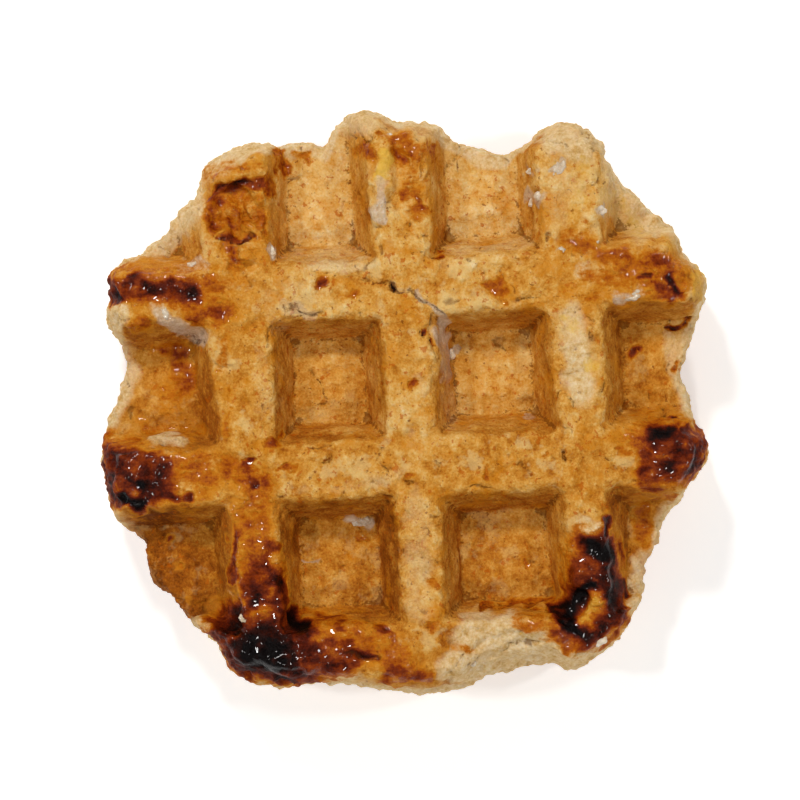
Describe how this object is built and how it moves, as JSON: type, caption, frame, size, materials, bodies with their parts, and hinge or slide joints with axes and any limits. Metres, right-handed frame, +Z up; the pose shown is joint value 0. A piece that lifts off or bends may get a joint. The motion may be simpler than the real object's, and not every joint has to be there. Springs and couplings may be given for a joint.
{
  "type": "liege waffle",
  "caption": "Thick round baked dough waffle with a grid of ribs and tapered pockets on both faces, caramelised sugar and a lumpy rim.",
  "frame": {"origin": "on the table, under the middle of the waffle's box", "axes": "+Z up, from the lower face to the upper face; +X and +Y along the two sets of ribs, +X across the longer way"},
  "size_m": [0.0918, 0.0878, 0.0243],
  "materials": {
    "crust": "porous golden-brown crust, satin, with glossy burnt caramel patches and pale dough at the rim",
    "sugar": "half-melted pearl sugar, glossy and slightly clear"
  },
  "bodies": {
    "root": {"waffle": "crust"}
  },
  "joints": []
}
